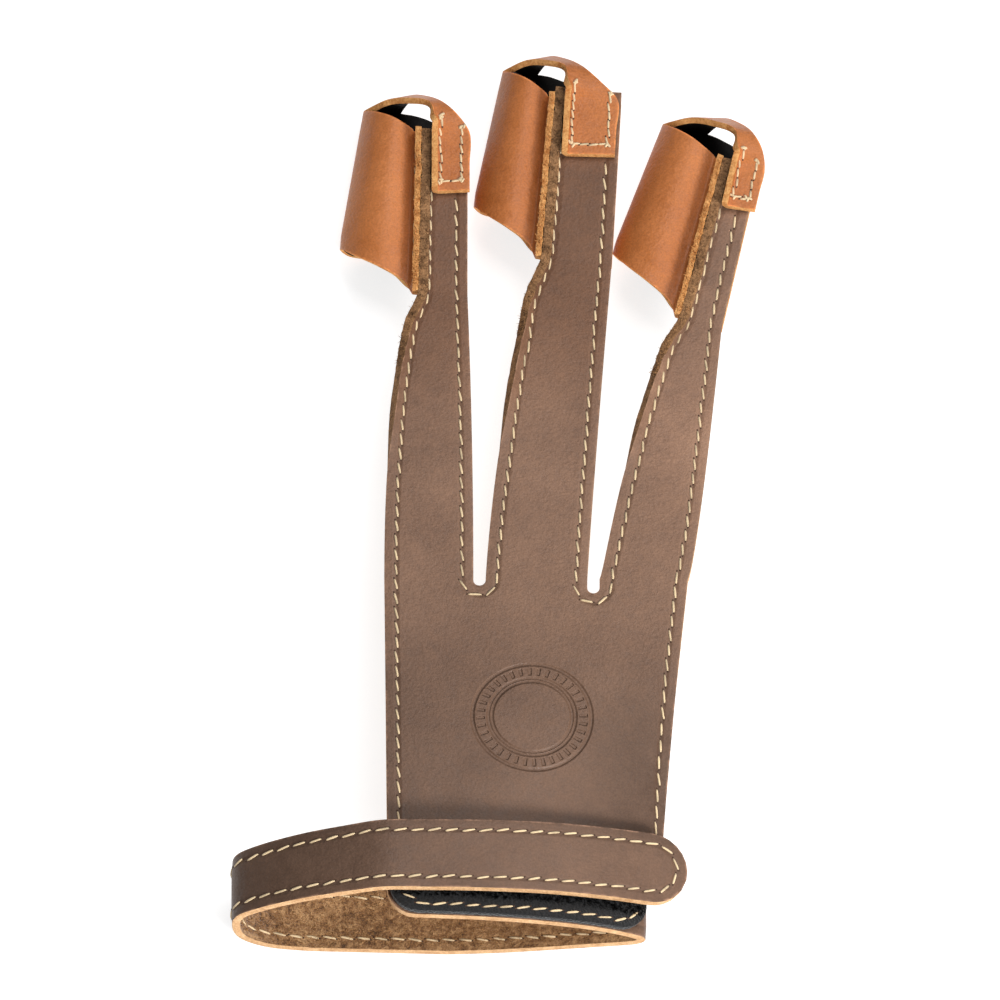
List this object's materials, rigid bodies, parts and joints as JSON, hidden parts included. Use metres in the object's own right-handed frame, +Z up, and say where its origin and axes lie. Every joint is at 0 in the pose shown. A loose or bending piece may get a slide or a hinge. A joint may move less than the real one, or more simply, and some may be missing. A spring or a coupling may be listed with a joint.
{
  "type": "archery glove",
  "caption": "Leather shooting glove for an archer's string hand: back panel with finger strips, cone-shaped finger stalls and a wrist strap closed into a loop.",
  "frame": {"origin": "middle of the glove's footprint, on the surface that it lies on", "axes": "+X across the back of the hand, +Y from the wrist to the fingertips, +Z up from the surface that it lies on"},
  "size_m": [0.1134, 0.213, 0.0282],
  "materials": {
    "brown_leather": "smooth grain",
    "strap_leather": "smooth grain, suede inside",
    "loop_fastener": "looped pile",
    "hook_fastener": "fine hooks",
    "tan_leather": "smooth grain",
    "lining": "smooth nylon"
  },
  "bodies": {
    "root": {"back_panel": "brown_leather", "wrist_strap": "strap_leather", "loop_tape": "loop_fastener", "hook_tape": "hook_fastener", "stall_index": "tan_leather", "stall_middle": "tan_leather", "stall_ring": "tan_leather", "liner_index": "lining", "liner_middle": "lining", "liner_ring": "lining"}
  },
  "joints": []
}
